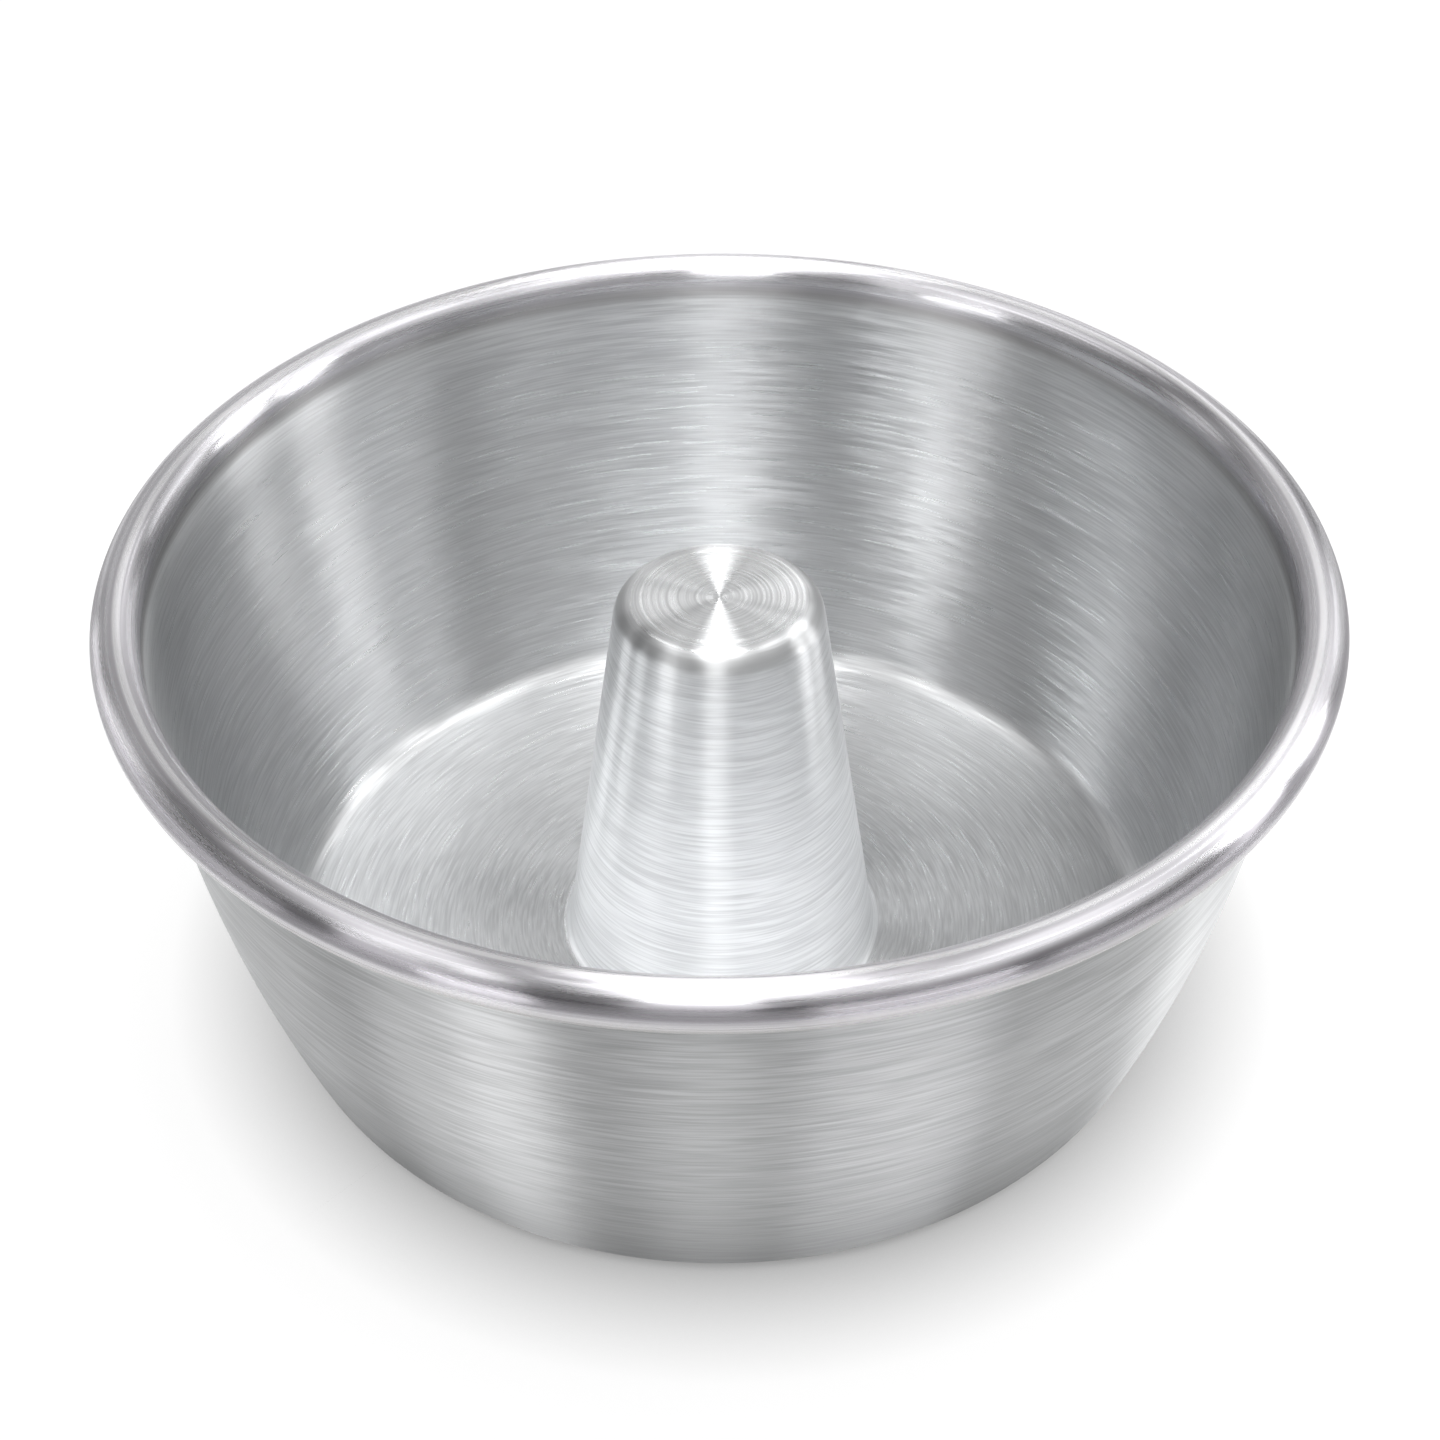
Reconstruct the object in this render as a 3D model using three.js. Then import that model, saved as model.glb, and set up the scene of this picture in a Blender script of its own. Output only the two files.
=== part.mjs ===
// Flan mould: a spun aluminium pan with a rolled rim and a closed hollow cone on its floor.
// Millimetres, +Z up, the table at z = 0 and the mould's axis on Z.
import * as THREE from 'three';

// Pan
const rimRadius = 110; // axis to the outermost point of the rolled rim
const overallHeight = 92; // table to the top of the rolled rim
const panSheet = 1.2; // thickness of the pan's sheet
const rollRadius = 4.2; // outside radius of the rolled rim's section
const rollMouth = 0.4; // slit between the roll's cut edge and the wall
const standRadius = 81.5; // outer edge of the flat that the pan stands on
const cornerRadius = 7; // outside radius between the base and the wall
const wallBow = 290; // radius of the wall's slight outward bow

// Wire that the rim is rolled round
const wirePlay = 0.3; // gap between the wire and the inside of the roll

// Centre cone
const coneSheet = 1; // thickness of the cone's sheet
const coneHeight = 81.5; // table to the cone's flat top
const coneTopRadius = 18.7; // where the cone's side would meet its flat top
const coneFootRadius = 30.5; // where the cone's side would meet the pan's floor
const coneEdgeRadius = 4.5; // rounding between the side and the flat top
const footFillet = 1.5; // hollow rounding between the side and the floor
const footEdge = 0.25; // thickness left at the thin edge of the foot

// Joint between the two: the floor's turned-up collar stands inside the cone's foot
const seatFit = 0.25; // gap between the nested sheets
const collarRise = 5; // straight length of the collar above its bend

// Facets
const roundSteps = 48; // around the axis
const wireSides = 10; // around the wire
const bendSteps = 6; // along a corner of the sheet
const wallSteps = 8; // up the wall
const rollSteps = 4; // along each quarter of the roll

const quarterTurn = Math.PI / 2;
const halfTurn = Math.PI;
const fullTurn = 2 * Math.PI;

const point = (r, z) => new THREE.Vector2(r, z);
const polar = (angle) => point(Math.cos(angle), Math.sin(angle));
const onArc = (centre, radius, angle) => polar(angle).multiplyScalar(radius).add(centre);
const heading = (from, to) => Math.atan2(to.y - from.y, to.x - from.x);

function angleSteps(from, to, steps) {
  return Array.from({ length: steps + 1 }, (_, i) => from + ((to - from) * i) / steps);
}

const arc = (centre, radius, angles) => angles.map((angle) => onArc(centre, radius, angle));

// Turns the two faces of a sheet about the axis. The under face is the one that looks to the table or
// out of the mould, the upper face the one that the food touches. Faces that start on the axis close there.
function spun(under, upper) {
  const outline = [...under, ...upper.toReversed()];
  const startsOnAxis = under[0].x === 0;
  if (!startsOnAxis) outline.push(under[0].clone());
  return new THREE.LatheGeometry(outline, roundSteps).rotateX(quarterTurn);
}

// The cone's straight side runs from the floor to the flat top, leaning in by coneLean.
const floorTop = panSheet;
const coneLean = Math.atan2(coneFootRadius - coneTopRadius, coneHeight - floorTop);

// Radius of a point at height z that lies a given distance outside the cone's side.
function besideCone(z, distance) {
  const rise = z - floorTop;
  return coneFootRadius + (distance - rise * Math.sin(coneLean)) / Math.cos(coneLean);
}

// The foot of the cone stands round the collar of the pan's floor, and both bend out about one centre.
// The outer face has the same rounding and runs out to a thin edge on the floor.
const footUnder = floorTop + seatFit;
const collarCentreHeight = footUnder + footFillet;
const collarCentre = point(besideCone(collarCentreHeight, footFillet - coneSheet), collarCentreHeight);
const footCentreHeight = footUnder + footEdge + footFillet;
const footCentre = point(besideCone(footCentreHeight, footFillet), footCentreHeight);
const footAngles = angleSteps(halfTurn + coneLean, halfTurn + quarterTurn, bendSteps);

// Centre of the arc that lies a given distance from each of two points, on the axis side of them.
function meetingCentre(low, fromLow, high, fromHigh) {
  const apart = low.distanceTo(high);
  const along = (fromLow ** 2 - fromHigh ** 2 + apart ** 2) / (2 * apart);
  const aside = Math.sqrt(fromLow ** 2 - along ** 2);
  const up = high.clone().sub(low).normalize();
  const inward = point(-up.y, up.x);
  return low.clone().addScaledVector(up, along).addScaledVector(inward, aside);
}

// The wall's arc runs on from the corner's arc and into the inside of the roll without a kink.
const cornerCentre = point(standRadius, cornerRadius);
const rollCentre = point(rimRadius - rollRadius, overallHeight - rollRadius);
const rollInside = rollRadius - panSheet;
const wallCentre = meetingCentre(cornerCentre, wallBow - cornerRadius, rollCentre, wallBow + rollInside);
const wallFoot = heading(wallCentre, cornerCentre);
const wallTop = heading(wallCentre, rollCentre);

// The roll turns outward over its top and outermost points and stops short of the wall.
const rollStart = wallTop + halfTurn;
const rollShut = Math.acos((rollInside - rollMouth) / rollRadius);
const rollEnd = rollStart - fullTurn + rollShut;
const rollAngles = [
  ...angleSteps(rollStart, quarterTurn, rollSteps),
  ...angleSteps(quarterTurn, 0, rollSteps).slice(1),
  ...angleSteps(0, -quarterTurn, rollSteps).slice(1),
  ...angleSteps(-quarterTurn, rollEnd, rollSteps).slice(1),
];

// One face of the pan's sheet, from the collar's edge to the roll's, at a depth under the upper face.
function panFace(depth) {
  const inward = panSheet - depth;
  const collar = arc(collarCentre, footFillet + seatFit + depth, footAngles);
  const upTheCone = polar(quarterTurn + coneLean).multiplyScalar(collarRise);
  const collarTop = collar[0].clone().add(upTheCone);
  const corner = arc(cornerCentre, cornerRadius - inward, angleSteps(-quarterTurn, wallFoot, bendSteps));
  const wall = arc(wallCentre, wallBow - inward, angleSteps(wallFoot, wallTop, wallSteps));
  const roll = arc(rollCentre, rollRadius - depth, rollAngles);
  return [collarTop, ...collar, ...corner, ...wall.slice(1), ...roll.slice(1)];
}

function makePan() {
  return spun(panFace(panSheet), panFace(0));
}

function makeCone() {
  const edgeHeight = coneHeight - coneEdgeRadius;
  const edgeCentre = point(besideCone(edgeHeight, -coneEdgeRadius), edgeHeight);
  const edgeAngles = angleSteps(quarterTurn, coneLean, bendSteps);
  const under = [
    point(0, coneHeight - coneSheet),
    ...arc(edgeCentre, coneEdgeRadius - coneSheet, edgeAngles),
    ...arc(collarCentre, footFillet, footAngles),
    point(footCentre.x, footUnder),
  ];
  const upper = [
    point(0, coneHeight),
    ...arc(edgeCentre, coneEdgeRadius, edgeAngles),
    ...arc(footCentre, footFillet, footAngles),
  ];
  return spun(under, upper);
}

function makeWire() {
  const wireRadius = rollRadius - panSheet - wirePlay;
  const wire = new THREE.TorusGeometry(rimRadius - rollRadius, wireRadius, wireSides, roundSteps);
  return wire.translate(0, 0, overallHeight - rollRadius);
}

function piece(name, geometry, color, roughness) {
  const material = new THREE.MeshStandardMaterial({ color, roughness, metalness: 1 });
  const mesh = new THREE.Mesh(geometry, material);
  mesh.name = name;
  return mesh;
}

const mould = new THREE.Group();
mould.add(piece('pan_shell', makePan(), 0xc6c8cb, 0.34));
mould.add(piece('centre_cone', makeCone(), 0xcfd1d4, 0.3));
mould.add(piece('rim_wire', makeWire(), 0x8d9196, 0.4));

export default mould;
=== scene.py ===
from math import acos, atan2, cos, hypot, pi, radians, sin, sqrt, tan

import bpy
from mathutils import Matrix, Vector


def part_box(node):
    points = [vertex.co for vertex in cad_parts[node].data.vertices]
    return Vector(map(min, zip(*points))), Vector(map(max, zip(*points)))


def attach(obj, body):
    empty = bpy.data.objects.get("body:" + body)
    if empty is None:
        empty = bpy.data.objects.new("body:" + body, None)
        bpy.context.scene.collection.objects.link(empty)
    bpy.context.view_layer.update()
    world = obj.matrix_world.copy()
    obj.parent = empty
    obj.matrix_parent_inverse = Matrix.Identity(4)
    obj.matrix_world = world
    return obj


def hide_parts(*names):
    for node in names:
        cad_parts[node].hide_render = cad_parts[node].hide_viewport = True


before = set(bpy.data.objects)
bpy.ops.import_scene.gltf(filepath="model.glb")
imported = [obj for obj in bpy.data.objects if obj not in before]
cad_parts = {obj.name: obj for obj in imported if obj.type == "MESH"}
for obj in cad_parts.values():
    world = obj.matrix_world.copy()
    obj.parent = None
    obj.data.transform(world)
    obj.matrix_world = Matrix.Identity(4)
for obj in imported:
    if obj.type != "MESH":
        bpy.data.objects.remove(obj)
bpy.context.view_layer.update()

# Lengths are in metres, in the CAD part's frame
MM = 0.001

# Pan, as the CAD part has it
RIM_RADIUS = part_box("pan_shell")[1].x
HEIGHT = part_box("pan_shell")[1].z
PAN_SHEET = 1.2 * MM
ROLL_RADIUS = 4.2 * MM
ROLL_MOUTH = 0.4 * MM
STAND_RADIUS = 81.5 * MM
CORNER_RADIUS = 7 * MM
WALL_BOW = 290 * MM

# Wire in the rim
WIRE_PLAY = 0.3 * MM

# Cone, as the CAD part has it
CONE_SHEET = 1 * MM
CONE_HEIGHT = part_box("centre_cone")[1].z
CONE_TOP_RADIUS = 18.7 * MM
CONE_FOOT_RADIUS = 30.5 * MM
CONE_EDGE_RADIUS = 4.5 * MM
FOOT_FILLET = 1.5 * MM
SEAT_FIT = 0.25 * MM
COLLAR_RISE = 5 * MM

# The foot is burnished down until only a hair of its edge stands on the floor
FOOT_GAP = 0.03 * MM
FOOT_EDGE = 0.05 * MM

# Fine rings that the turning tool left on the cone's flat top: radius and depth of each, in millimetres
TOP_RINGS = ((5.2, 0.008), (8.0, 0.008), (10.3, 0.01), (12.1, 0.01), (13.9, 0.05))
RING_HALF_WIDTH = 0.22 * MM

# Fineness of the turned meshes
ROUND_STEPS = 256
BEND_STEPS = 12
FLAT_STEPS = 10
WALL_STEPS = 28
ROLL_STEPS = 14
WIRE_STEPS = 24
SMOOTH_ANGLE = radians(35)
MERGE_GAP = 1e-6

# Camera at the photograph's view
FRAME_PIXELS = 1440
FOCAL_PIXELS = 2346
SENSOR = 36  # millimetres, as Blender counts it
CAMERA_DISTANCE = 441 * MM
CAMERA_RISE = radians(40.0)
CAMERA_AIM = 52.5 * MM
CAMERA_ROLL = radians(-0.4)


# Outlines, as (radius, height) points

def on_arc(centre, radius, angle):
    return centre[0] + radius * cos(angle), centre[1] + radius * sin(angle)


def steps_between(start, end, steps):
    return [start + (end - start) * i / steps for i in range(steps + 1)]


def arc(centre, radius, start, end, steps):
    return [on_arc(centre, radius, angle) for angle in steps_between(start, end, steps)]


def straight(start, end, steps):
    """Points inside a straight run, without its two ends."""
    shares = steps_between(0, 1, steps)[1:-1]
    return [tuple(a + (b - a) * share for a, b in zip(start, end)) for share in shares]


def joined(*runs):
    """Runs of an outline, with straight stretches between them cut into steps."""
    outline = list(runs[0])
    for run in runs[1:]:
        outline += straight(outline[-1], run[0], FLAT_STEPS)
        outline += run
    return outline


floor_top = PAN_SHEET
cone_lean = atan2(CONE_FOOT_RADIUS - CONE_TOP_RADIUS, CONE_HEIGHT - floor_top)


def beside_cone(height, distance):
    """Radius of a point that lies a distance outside the cone's straight side."""
    return CONE_FOOT_RADIUS + (distance - (height - floor_top) * sin(cone_lean)) / cos(cone_lean)


def foot_bend(above_floor, thickness):
    """Centre of the foot's rounding, for a face that ends above the floor, inside the cone's side."""
    height = floor_top + above_floor + FOOT_FILLET
    return beside_cone(height, FOOT_FILLET - thickness), height


collar_centre = foot_bend(SEAT_FIT, CONE_SHEET)
under_centre = foot_bend(FOOT_GAP, CONE_SHEET)
foot_centre = foot_bend(FOOT_GAP + FOOT_EDGE, 0)
foot_at_side = pi + cone_lean
foot_at_floor = 1.5 * pi

edge_height = CONE_HEIGHT - CONE_EDGE_RADIUS
edge_centre = (beside_cone(edge_height, -CONE_EDGE_RADIUS), edge_height)

corner_centre = (STAND_RADIUS, CORNER_RADIUS)
roll_centre = (RIM_RADIUS - ROLL_RADIUS, HEIGHT - ROLL_RADIUS)
roll_inside = ROLL_RADIUS - PAN_SHEET


def meeting_centre(low, from_low, high, from_high):
    """Centre that lies a distance from each of two points, on the axis side of them."""
    reach = (high[0] - low[0], high[1] - low[1])
    apart = hypot(*reach)
    along = (from_low ** 2 - from_high ** 2 + apart ** 2) / (2 * apart)
    aside = sqrt(from_low ** 2 - along ** 2)
    up = (reach[0] / apart, reach[1] / apart)
    return low[0] + up[0] * along - up[1] * aside, low[1] + up[1] * along + up[0] * aside


wall_centre = meeting_centre(corner_centre, WALL_BOW - CORNER_RADIUS, roll_centre, WALL_BOW + roll_inside)
wall_foot = atan2(corner_centre[1] - wall_centre[1], corner_centre[0] - wall_centre[0])
wall_top = atan2(roll_centre[1] - wall_centre[1], roll_centre[0] - wall_centre[0])
roll_start = wall_top + pi
roll_end = roll_start - 2 * pi + acos((roll_inside - ROLL_MOUTH) / ROLL_RADIUS)


def pan_face(depth):
    """One face of the pan's sheet: depth 0 is the face that holds the food, PAN_SHEET the outer one."""
    collar = arc(collar_centre, FOOT_FILLET + SEAT_FIT + depth, foot_at_side, foot_at_floor, BEND_STEPS)
    collar_top = (collar[0][0] - COLLAR_RISE * sin(cone_lean), collar[0][1] + COLLAR_RISE * cos(cone_lean))
    inward = PAN_SHEET - depth
    corner = arc(corner_centre, CORNER_RADIUS - inward, -pi / 2, wall_foot, BEND_STEPS)
    wall = arc(wall_centre, WALL_BOW - inward, wall_foot, wall_top, WALL_STEPS)
    roll = arc(roll_centre, ROLL_RADIUS - depth, roll_start, roll_end, ROLL_STEPS * 4)
    return [collar_top] + joined(collar, corner + wall[1:] + roll[1:])


def pan_outline():
    outline = pan_face(PAN_SHEET) + pan_face(0)[::-1]
    return outline + outline[:1]


def ringed_top():
    """The cone's flat top from its middle outward, with a shallow groove for each turned ring."""
    run = [(0, CONE_HEIGHT)]
    for radius, depth in TOP_RINGS:
        for side, sunk in ((-1, 0), (0, depth), (1, 0)):
            run.append((radius * MM + side * RING_HALF_WIDTH, CONE_HEIGHT - sunk * MM))
    return run


def cone_outline():
    edge_inside = CONE_EDGE_RADIUS - CONE_SHEET
    outer = joined(
        ringed_top(),
        arc(edge_centre, CONE_EDGE_RADIUS, pi / 2, cone_lean, BEND_STEPS),
        arc(foot_centre, FOOT_FILLET, foot_at_side, foot_at_floor, BEND_STEPS),
    )
    inner = joined(
        [(foot_centre[0], floor_top + FOOT_GAP)],
        arc(under_centre, FOOT_FILLET, foot_at_floor, foot_at_side, BEND_STEPS),
        arc(edge_centre, edge_inside, cone_lean, pi / 2, BEND_STEPS),
        [(0, CONE_HEIGHT - CONE_SHEET)],
    )
    return outer + inner


def wire_outline():
    return arc(roll_centre, roll_inside - WIRE_PLAY, 0, 2 * pi, WIRE_STEPS)


# Turning a drawn outline into a piece

def draw_outline(name, outline):
    """A plane is merged to the outline's first point, and that point is extruded along the outline."""
    bpy.ops.object.select_all(action="DESELECT")
    first = outline[0]
    bpy.ops.mesh.primitive_plane_add(size=PAN_SHEET, location=(first[0], 0, first[1]))
    piece = bpy.context.object
    piece.name = name
    bpy.ops.object.transform_apply(location=True, rotation=True, scale=True)
    bpy.ops.object.mode_set(mode="EDIT")
    bpy.ops.mesh.select_all(action="SELECT")
    bpy.ops.mesh.merge(type="CENTER")
    for here, there in zip(outline, outline[1:]):
        step = (there[0] - here[0], 0, there[1] - here[1])
        bpy.ops.mesh.extrude_vertices_move(TRANSFORM_OT_translate={"value": step})
    return piece


def turn_piece(name, outline):
    """The outline is spun once round the mould's axis and sewn up where it meets itself."""
    piece = draw_outline(name, outline)
    bpy.ops.mesh.select_all(action="SELECT")
    bpy.ops.mesh.spin(steps=ROUND_STEPS, angle=2 * pi, center=(0, 0, 0), axis=(0, 0, 1))
    bpy.ops.mesh.select_all(action="SELECT")
    bpy.ops.mesh.remove_doubles(threshold=MERGE_GAP)
    bpy.ops.mesh.normals_make_consistent(inside=False)
    bpy.ops.object.mode_set(mode="OBJECT")
    bpy.ops.object.shade_smooth_by_angle(angle=SMOOTH_ANGLE)
    return piece


def finish_faces(piece, finishes, choose):
    """Gives each face the finish that choose picks from its middle's radius and height and its normal."""
    for finish in finishes:
        piece.data.materials.append(finish)
    for face in piece.data.polygons:
        face.material_index = choose(hypot(face.center.x, face.center.y), face.center.z, face.normal)


# Finishes

# Bare metal: it mirrors in streaks that lie a quarter turn from its marks, with a faint tint
BRUSHED = 1.0
ACROSS_THE_MARKS = 0.25
METAL_TINT = (0.985, 0.995, 1.005)

# The brush
COMBED = 0.024  # lean of the surface by its marks
MARK_RANGE = (0.3, 0.7)  # noise of its darkest and lightest marks
FINE_ROUND = 1.5  # fine marks for each thick one in a turn
FINE_SHARE = 0.75  # weight of the fine marks in the tone
BRUSHED_TONES = (0.86, 1.08)  # shares of a tone in its darkest and lightest marks
BRUSH_WEAR = 0.06  # difference of roughness between them
SOFTENED = 0.12  # roughness added where the brush ran out

# The outside's painted shade, standing for the floor's contact shadow that it mirrors, fades out between
# two heights, so it is darker towards the stand; the inside softens towards the rim
STAND_SHADE_FADE = (-15 * MM, 50 * MM)
RIM_SOFTENED = 18 * MM

# The roll
ROLL_RUN_OUT = 2 * MM  # width over which the wall's brushing ends
ROLL_SHADE_BELOW = 0.6 * ROLL_RADIUS  # painted shade from here under its middle
ROLL_LIT_ABOVE = 0.3 * ROLL_RADIUS  # and painted light from here over it
ROLL_RING_RANGE = (0.35, 0.65)  # noise of its darkest and lightest rings
ROLL_LIT_COLOURS = ((0.62, 0.605, 0.635, 1), (0.76, 0.75, 0.78, 1))  # colours of those rings above, painted lit
ROLL_SHADED_COLOURS = ((0.44, 0.43, 0.43, 1), (0.54, 0.53, 0.53, 1))  # and below, painted shaded
ROLL_ROUGHNESS = 0.31

# Two painted lines round the roll, a highlight along the crest and a dark reflection on its outer side:
# angle of each in the roll's section, how it fades in, and its colour
CREST_HIGHLIGHT = radians(101)
CREST_HIGHLIGHT_FADE = (0.9 * MM, 0.3 * MM)
CREST_HIGHLIGHT_COLOUR = (0.95, 0.94, 0.96, 1)
DARK_REFLECTION_LINE = radians(26)
DARK_REFLECTION_FADE = (2.3 * MM, 0.8 * MM)
DARK_REFLECTION_COLOUR = (0.3, 0.29, 0.31, 1)

# The cone's top: its flat is turned, and its rounding carries painted shade, with more roughness, along a
# line
TOP_FACING = 0.95  # least rise of a normal on the flat
TURNED_TONES = (0.8, 1.08)  # shares of a tone in its darkest and lightest rings
RING_GLOSS = 0.06  # difference of roughness between them, on the roll too
EDGE_SHADE_LINE = radians(42)
EDGE_SHADE_FADE = (0.4 * MM, 2.6 * MM)

# The wire
WIRE_TONES = (0.42, 0.56)
WIRE_ROUGHNESS = 0.45
WIRE_GLOSS = 0.12

# Sockets of the Mix node that carry colours
MIX_COLOUR_A = 6
MIX_COLOUR_B = 7
MIX_COLOUR_RESULT = 2


class Flow:
    """A value that flows through a finish's nodes. Sums and products of values add Math nodes."""

    def __init__(self, tree, socket):
        self.tree = tree
        self.socket = socket

    def node(self, kind, settings=None, inputs=None, output=0):
        """Adds a node of any kind: its settings first, then what its sockets take."""
        made = self.tree.nodes.new(kind)
        for name, setting in (settings or {}).items():
            setattr(made, name, setting)
        for name, value in (inputs or {}).items():
            plug(self.tree, made.inputs[name], value)
        return Flow(self.tree, made.outputs[output] if made.outputs else None)

    def math(self, operation, *values):
        return self.node("ShaderNodeMath", {"operation": operation}, dict(enumerate(values)))

    def vector(self, operation, *values, **named):
        return self.node("ShaderNodeVectorMath", {"operation": operation}, dict(enumerate(values)) | named)

    def __add__(self, other):
        return self.math("ADD", self, other)

    __radd__ = __add__

    def __sub__(self, other):
        return self.math("SUBTRACT", self, other)

    def __rsub__(self, other):
        return self.math("SUBTRACT", other, self)

    def __mul__(self, other):
        return self.math("MULTIPLY", self, other)

    __rmul__ = __mul__

    def __truediv__(self, other):
        return self.math("DIVIDE", self, other)

    def __rtruediv__(self, other):
        return self.math("DIVIDE", other, self)

    def __pow__(self, other):
        return self.math("POWER", self, other)

    def __rpow__(self, other):
        return self.math("POWER", other, self)

    def ramp(self, low, high, to_low=0.0, to_high=1.0):
        """Smooth change of value between two limits."""
        settings = {"interpolation_type": "SMOOTHSTEP"}
        limits = {"Value": self, "From Min": low, "From Max": high, "To Min": to_low, "To Max": to_high}
        return self.node("ShaderNodeMapRange", settings, limits)


def plug(tree, socket, value):
    """Links a flowing value to a socket, or sets the socket to a plain one."""
    if isinstance(value, Flow):
        tree.links.new(value.socket, socket)
    else:
        socket.default_value = value


class TurnedPlace:
    """Where a point lies on a turned piece: its direction round the axis, its radius and its height."""

    def __init__(self, tree):
        start = Flow(tree, None)
        place = start.node("ShaderNodeTexCoord", output="Object")
        self.x, self.y, self.height = (
            place.node("ShaderNodeSeparateXYZ", inputs={"Vector": place}, output=axis) for axis in "XYZ"
        )
        self.radius = (self.x * self.x + self.y * self.y) ** 0.5

    def ring_marks(self, marks_round, marks_per_mm, detail=2.0, roughness=0.5):
        """Noise drawn out round the axis: so many marks in a full turn, so many to a millimetre across."""
        along = marks_round / (2 * pi)
        across = marks_per_mm / MM
        vector = self.radius.node("ShaderNodeCombineXYZ", inputs={
            "X": self.x / self.radius * along,
            "Y": self.y / self.radius * along,
            "Z": self.radius * across,
        })
        return vector.node("ShaderNodeTexNoise", {"noise_dimensions": "4D"}, {
            "Vector": vector, "W": self.height * across,
            "Scale": 1.0, "Detail": detail, "Roughness": roughness,
        })

    def from_ring(self, ring):
        """Distance of the point from a ring that is given by its radius and height."""
        out, up = self.radius - ring[0], self.height - ring[1]
        return (out * out + up * up) ** 0.5

    def combed(self, marks, lean):
        """The surface's normal, leant a little forward or back round the axis by each mark."""
        round_axis = self.x.node("ShaderNodeCombineXYZ", inputs={
            "X": -1.0 * self.y / self.radius, "Y": self.x / self.radius,
        })
        shift = round_axis.vector("SCALE", round_axis, Scale=(marks - 0.5) * lean)
        in_room = shift.node("ShaderNodeVectorTransform", {
            "vector_type": "VECTOR", "convert_from": "OBJECT", "convert_to": "WORLD",
        }, {"Vector": shift})
        normal = in_room.node("ShaderNodeNewGeometry", output="Normal")
        leant = normal.vector("ADD", normal, in_room)
        return leant.vector("NORMALIZE", leant)


def new_finish(name):
    finish = bpy.data.materials.new(name)
    finish.use_nodes = True
    tree = finish.node_tree
    tree.nodes.clear()
    return finish, tree


def metal(tree, colour, roughness, normal=None):
    """Bare metal, with its own smooth normal where none is given."""
    inputs = {
        "Base Color": colour, "Metallic": 1.0, "Roughness": roughness,
        "Anisotropic": BRUSHED, "Anisotropic Rotation": ACROSS_THE_MARKS,
    }
    if normal is not None:
        inputs["Normal"] = normal
    shader = Flow(tree, None).node("ShaderNodeBsdfPrincipled", inputs=inputs)
    shader.node("ShaderNodeOutputMaterial", inputs={"Surface": shader})


def tinted(value, dark, light):
    """Colour between two colours by a value."""
    inputs = {"Factor": value, MIX_COLOUR_A: dark, MIX_COLOUR_B: light}
    return value.node("ShaderNodeMix", {"data_type": "RGBA"}, inputs, output=MIX_COLOUR_RESULT)


def grey(tone):
    """The faintly blue grey of bare metal."""
    return tuple(tone * share for share in METAL_TINT) + (1,)


def greys(tone, shares):
    """Two greys, each a share of a tone."""
    return [grey(tone * share) for share in shares]


class Brushing:
    """Marks of the brush: fine ones that change the tone and thicker ones that lean the surface."""

    def __init__(self, place, marks_round):
        thick = place.ring_marks(marks_round, marks_per_mm=1.2, detail=0.0)
        fine = place.ring_marks(marks_round * FINE_ROUND, marks_per_mm=2.4, detail=1.0, roughness=0.6)
        self.normal = place.combed(thick.ramp(*MARK_RANGE), COMBED)
        self.worn = (fine * FINE_SHARE + thick * (1 - FINE_SHARE)).ramp(*MARK_RANGE)

    def colour(self, tone):
        return tinted(self.worn, *greys(tone, BRUSHED_TONES))

    def with_painted_shade(self, tone, shade_tone, share):
        """Brushed colour that falls to a tone of painted shade where the share is below 1."""
        return tinted(share, grey(shade_tone), self.colour(tone))

    def roughness(self, middle):
        return middle + (0.5 - self.worn) * BRUSH_WEAR


def brushed_with_edge_shade(name, tone, shade_tone, roughness, marks_round):
    """Brushed side of the cone, with painted shade and more roughness along a line round the rounding
    under its top.
    """
    finish, tree = new_finish(name)
    place = TurnedPlace(tree)
    brushing = Brushing(place, marks_round)
    # Painted shade: the colour falls to a darker tone along a line round the rounding, damping its
    # highlights; roughness rises there too
    clear = place.from_ring(on_arc(edge_centre, CONE_EDGE_RADIUS, EDGE_SHADE_LINE)).ramp(*EDGE_SHADE_FADE)
    worn = brushing.roughness(roughness + (1 - clear) * SOFTENED)
    metal(tree, brushing.with_painted_shade(tone, shade_tone, clear), worn, brushing.normal)
    return finish


def brushed_shaded_to_the_stand(name, tone, shade_tone, roughness, marks_round):
    """Brushed outside with painted shade that darkens it towards the edge that the pan stands on, where it
    mirrors the floor's contact shadow.
    """
    finish, tree = new_finish(name)
    place = TurnedPlace(tree)
    brushing = Brushing(place, marks_round)
    # Painted shade: the colour darkens to the shade tone towards the stand, where the outside mirrors the
    # floor's contact shadow
    colour = brushing.with_painted_shade(tone, shade_tone, place.height.ramp(*STAND_SHADE_FADE))
    metal(tree, colour, brushing.roughness(roughness), brushing.normal)
    return finish


def turned_aluminium(name, tone, roughness):
    """The cone's top, with fine unbroken rings from the turning tool."""
    finish, tree = new_finish(name)
    place = TurnedPlace(tree)
    marks = place.ring_marks(marks_round=2, marks_per_mm=2.2, detail=1.0, roughness=0.6)
    rings = marks.ramp(*MARK_RANGE)
    metal(tree, tinted(rings, *greys(tone, TURNED_TONES)), roughness - rings * RING_GLOSS)
    return finish


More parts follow.
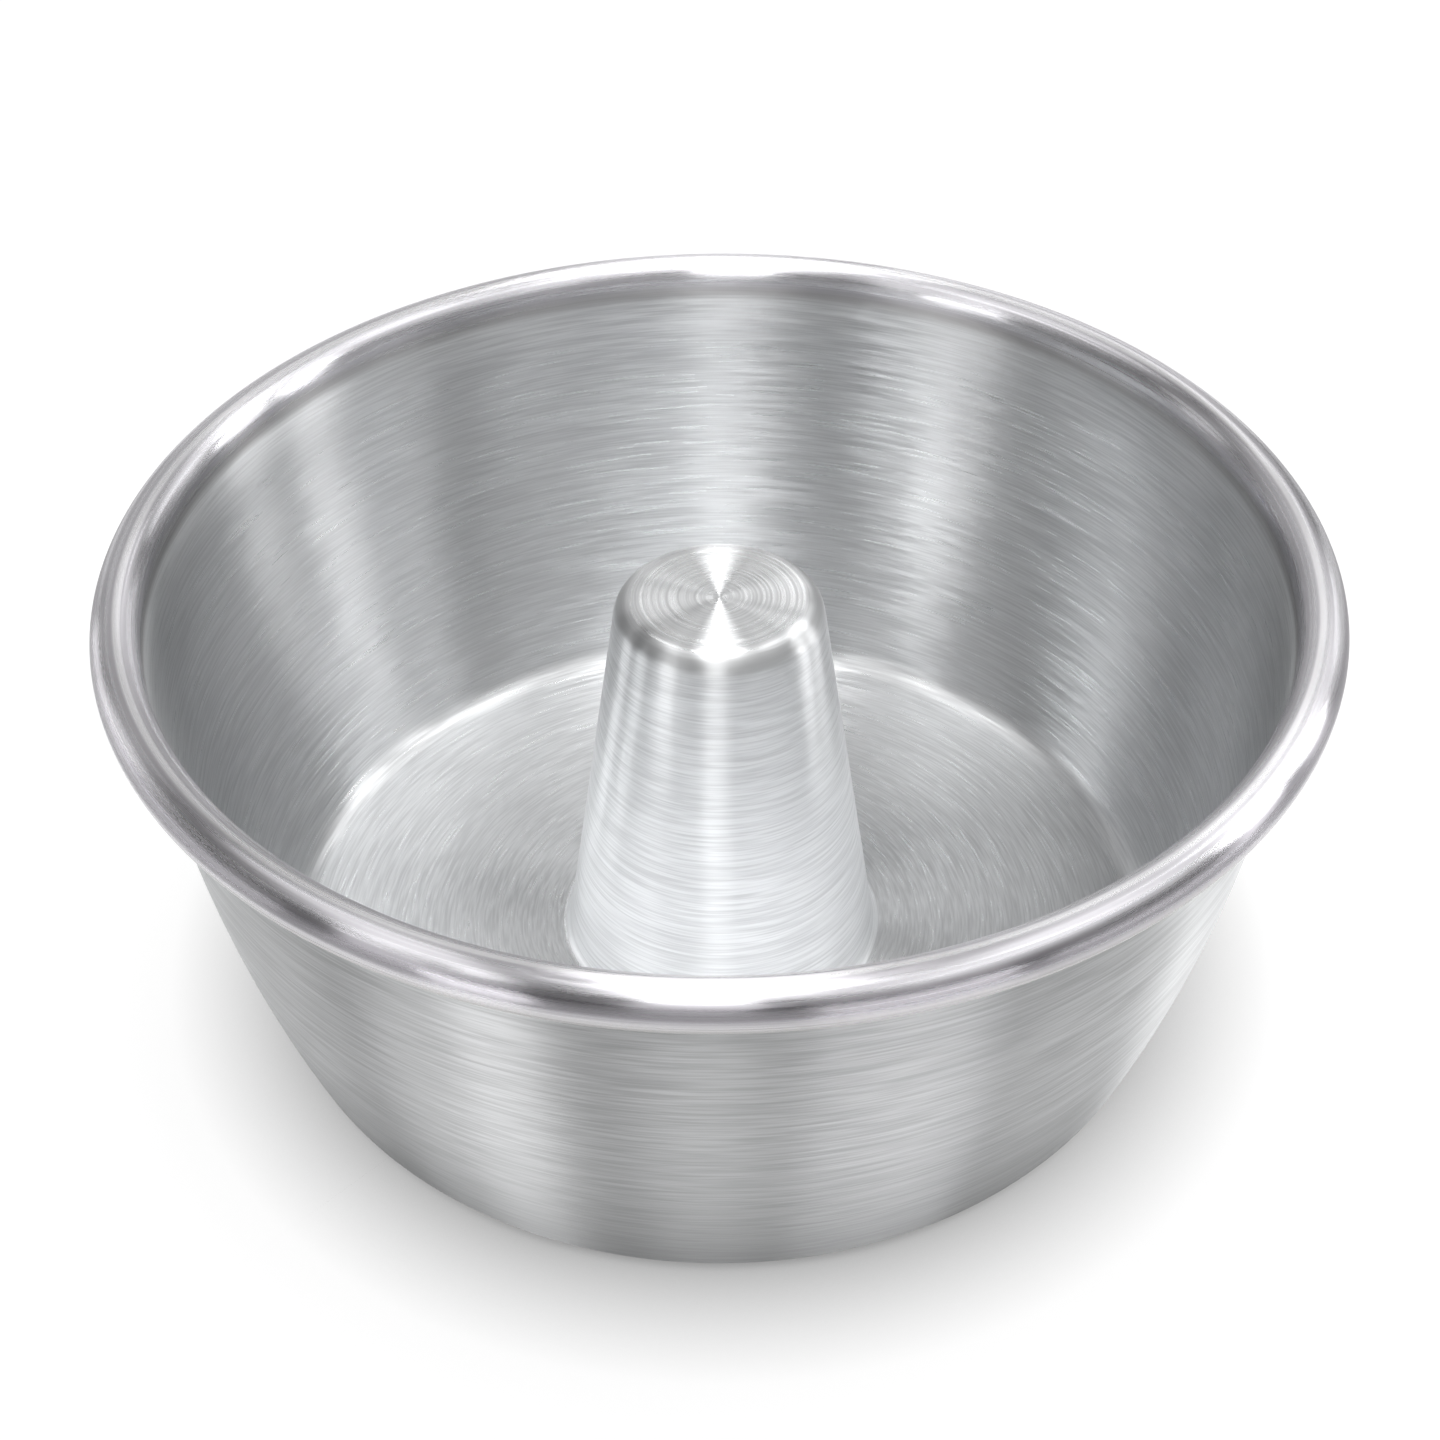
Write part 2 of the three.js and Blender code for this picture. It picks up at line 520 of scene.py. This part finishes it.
def roll_colour_and_painted_light(place, rings):
    """Painted shade below and painted light above, with a painted highlight along the crest and a painted
    dark reflection on the outer side.
    """

    def along(angle, fade):
        return place.from_ring(on_arc(roll_centre, ROLL_RADIUS, angle)).ramp(*fade)

    # Painted light: the roll's upper half gets lit colours and its lower half shaded colours
    lit_share = place.height.ramp(roll_centre[1] - ROLL_SHADE_BELOW, roll_centre[1] + ROLL_LIT_ABOVE)
    shaded = tinted(lit_share, tinted(rings, *ROLL_SHADED_COLOURS), tinted(rings, *ROLL_LIT_COLOURS))
    # Painted highlight: a bright line along the roll's crest
    with_highlight = tinted(along(CREST_HIGHLIGHT, CREST_HIGHLIGHT_FADE), shaded, CREST_HIGHLIGHT_COLOUR)
    # Painted dark reflection: a dark line on the roll's outer side
    return tinted(along(DARK_REFLECTION_LINE, DARK_REFLECTION_FADE), with_highlight, DARK_REFLECTION_COLOUR)


def brushed_and_rolled(name, tone, roughness, marks_round):
    """Brushed inside that runs out into the polished roll of the rim."""
    finish, tree = new_finish(name)
    place = TurnedPlace(tree)
    brushing = Brushing(place, marks_round)
    rings = place.ring_marks(marks_round=8, marks_per_mm=1.6).ramp(*ROLL_RING_RANGE)
    rolled = place.from_ring(roll_centre).ramp(ROLL_RADIUS + ROLL_RUN_OUT, ROLL_RADIUS)
    colour = tinted(rolled, brushing.colour(tone), roll_colour_and_painted_light(place, rings))
    near_rim = place.height.ramp(HEIGHT - RIM_SOFTENED, roll_centre[1])
    wall_worn = brushing.roughness(roughness + near_rim * SOFTENED)
    roll_worn = ROLL_ROUGHNESS - rings * RING_GLOSS
    metal(tree, colour, wall_worn * (1 - rolled) + roll_worn * rolled, brushing.normal)
    return finish


def drawn_wire(name):
    """Plain drawn steel, marked along the wire."""
    finish, tree = new_finish(name)
    place = TurnedPlace(tree)
    drawn = place.ring_marks(marks_round=30, marks_per_mm=1.6).ramp(*MARK_RANGE)
    colour = tinted(drawn, *greys(1, WIRE_TONES))
    metal(tree, colour, WIRE_ROUGHNESS - drawn * WIRE_GLOSS, place.combed(drawn, COMBED))
    return finish


# Pieces

def put(piece, node):
    """Sets a piece in the place of its CAD node."""
    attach(piece, "root")
    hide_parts(node)


def make_pan():
    pan = turn_piece("spun_pan", pan_outline())
    finishes = [
        brushed_and_rolled("brushed_inside", tone=0.8, roughness=0.3, marks_round=34),
        # Painted shade: the outside gets a lower tone than the inside of the same sheet, for the darker
        # floor it mirrors, and a still darker tone towards the stand
        brushed_shaded_to_the_stand("brushed_outside", tone=0.53, shade_tone=0.29, roughness=0.5, marks_round=34),
    ]

    def choose(radius, height, normal):
        on_roll = hypot(radius - roll_centre[0], height - roll_centre[1]) < ROLL_RADIUS + MERGE_GAP
        return 0 if on_roll or normal.z > 0 else 1

    finish_faces(pan, finishes, choose)
    put(pan, "pan_shell")


def make_cone():
    cone = turn_piece("drawn_cone", cone_outline())
    finishes = [
        brushed_with_edge_shade("brushed_cone", tone=0.92, shade_tone=0.6, roughness=0.34, marks_round=9),
        turned_aluminium("turned_top", tone=0.9, roughness=0.32),
    ]
    finish_faces(cone, finishes, lambda radius, height, normal: 1 if normal.z > TOP_FACING else 0)
    put(cone, "centre_cone")


def make_wire():
    wire = turn_piece("wire_ring", wire_outline())
    finish_faces(wire, [drawn_wire("drawn_wire")], lambda radius, height, normal: 0)
    put(wire, "rim_wire")


make_pan()
make_cone()
make_wire()


# Studio

# The floor: its own grey, the light that lifts it to white, and the soft shade close to the mould
FLOOR_SIZE = 30.0
FLOOR_TONE = 0.22
FLOOR_LIFT = 0.9
SHADE_REACH = 22 * MM
SHADE_FADE = 0.7

# The room: white from the floor up to one angle, and dim from another
ROOM_TONE = 0.12
SWEEP_WHITE = sin(radians(2.4))
SWEEP_TOP = sin(radians(4.4))

WHITE = (1, 1, 1, 1)
LAMP_DISTANCE = 1.2


def seen_directly(tree):
    """1 where a camera, glossy or transmission ray looks, 0 for diffuse light."""
    start = Flow(tree, None)
    camera = start.node("ShaderNodeLightPath", output="Is Camera Ray")
    glossy = start.node("ShaderNodeLightPath", output="Is Glossy Ray")
    through = start.node("ShaderNodeLightPath", output="Is Transmission Ray")
    return camera.math("MAXIMUM", camera.math("MAXIMUM", camera, glossy), through)


def make_floor():
    bpy.ops.object.select_all(action="DESELECT")
    bpy.ops.mesh.primitive_plane_add(size=FLOOR_SIZE)
    floor = bpy.context.object
    floor.name = "studio_floor"
    finish, tree = new_finish("studio_white")
    seen = seen_directly(tree)
    open_sky = seen.node("ShaderNodeAmbientOcclusion", inputs={"Distance": SHADE_REACH}, output="AO")
    matt = seen.node("ShaderNodeBsdfDiffuse", inputs={"Color": (FLOOR_TONE,) * 3 + (1,)})
    strength = seen * open_sky ** SHADE_FADE * FLOOR_LIFT
    lift = seen.node("ShaderNodeEmission", inputs={"Color": WHITE, "Strength": strength})
    both = seen.node("ShaderNodeAddShader", inputs={0: matt, 1: lift})
    both.node("ShaderNodeOutputMaterial", inputs={"Surface": both})
    floor.data.materials.append(finish)


def make_world():
    """A dim room above a white sweep that meets the floor at the horizon."""
    world = bpy.data.worlds.new("studio")
    bpy.context.scene.world = world
    world.use_nodes = True
    tree = world.node_tree
    tree.nodes.clear()
    look = Flow(tree, None).node("ShaderNodeTexCoord", output="Generated")
    up = look.node("ShaderNodeSeparateXYZ", inputs={"Vector": look}, output="Z")
    strength = up.ramp(SWEEP_TOP, SWEEP_WHITE, ROOM_TONE, 1.0)
    room = up.node("ShaderNodeBackground", inputs={"Color": WHITE, "Strength": strength})
    room.node("ShaderNodeOutputWorld", inputs={"Surface": room})


def make_softbox(name, azimuth, rise, across, upright, brightness):
    """A soft lamp that faces the mould. From there its middle lies at an azimuth, with 0 on the camera's
    side and positive to the right, and at a rise, and it looks so many degrees across and upright."""
    width, height = (2 * LAMP_DISTANCE * tan(radians(angle) / 2) for angle in (across, upright))
    lamp = bpy.data.lights.new(name, "AREA")
    lamp.shape = "RECTANGLE"
    lamp.size = width
    lamp.size_y = height
    lamp.energy = brightness * pi * width * height
    softbox = bpy.data.objects.new(name, lamp)
    bpy.context.scene.collection.objects.link(softbox)
    a, e = radians(azimuth), radians(rise)
    away = Vector((sin(a) * cos(e), -cos(a) * cos(e), sin(e)))
    softbox.location = away * LAMP_DISTANCE
    softbox.rotation_euler = away.to_track_quat("Z", "Y").to_euler()
    softbox.visible_camera = False
    return softbox


def make_card(*place):
    """A lit card that shows in the metal and throws no light on the floor."""
    make_softbox(*place).visible_diffuse = False


def make_camera():
    camera = bpy.data.cameras.new("photo_view")
    camera.sensor_width = SENSOR
    camera.lens = SENSOR * FOCAL_PIXELS / FRAME_PIXELS
    viewer = bpy.data.objects.new("photo_view", camera)
    bpy.context.scene.collection.objects.link(viewer)
    viewer.location = (
        0, -CAMERA_DISTANCE * cos(CAMERA_RISE), CAMERA_AIM + CAMERA_DISTANCE * sin(CAMERA_RISE)
    )
    tilt = Matrix.Rotation(pi / 2 - CAMERA_RISE, 3, "X")
    viewer.rotation_euler = (tilt @ Matrix.Rotation(CAMERA_ROLL, 3, "Z")).to_euler()
    bpy.context.scene.camera = viewer


make_floor()
make_world()

# Lamps, then cards: azimuth, rise, degrees across and upright, brightness
make_softbox("overhead", 180, 83, 17, 30, 7.4)
make_softbox("right_top", 70, 61, 44, 24, 1.7)
make_softbox("back_top", 128, 58, 28, 26, 1.2)
make_softbox("left_top", -100, 64, 40, 18, 1.7)
make_card("right_near", 93, 25, 9, 22, 7.8)
make_card("right_far", 111, 25, 9, 22, 7.6)
make_card("back_right", 134, 36, 18, 34, 1.5)
make_card("back", 165, 31, 15, 22, 1.4)
make_card("back_middle", 180, 36, 12, 30, 0.5)
make_card("backdrop", 180, 6, 60, 12, 0.5)
make_card("back_left", -153, 30, 34, 36, 0.4)
make_card("left", -112, 18, 14, 34, 0.7)
make_card("left_front", -53, 24, 16, 14, 4.4)
make_card("left_low", -36, 2.5, 15, 5, 22.0)
make_card("side_low", -100, 2.5, 60, 5, 6.0)
make_card("front", -4, 46, 15, 26, 4.0)
make_card("front_left", -42, 46, 8, 20, 1.8)
make_card("right_low", 29, 2.5, 30, 5, 15.0)
make_card("right_side_low", 70, 2.5, 40, 5, 5.0)

make_camera()
bpy.context.scene.view_settings.view_transform = "Standard"
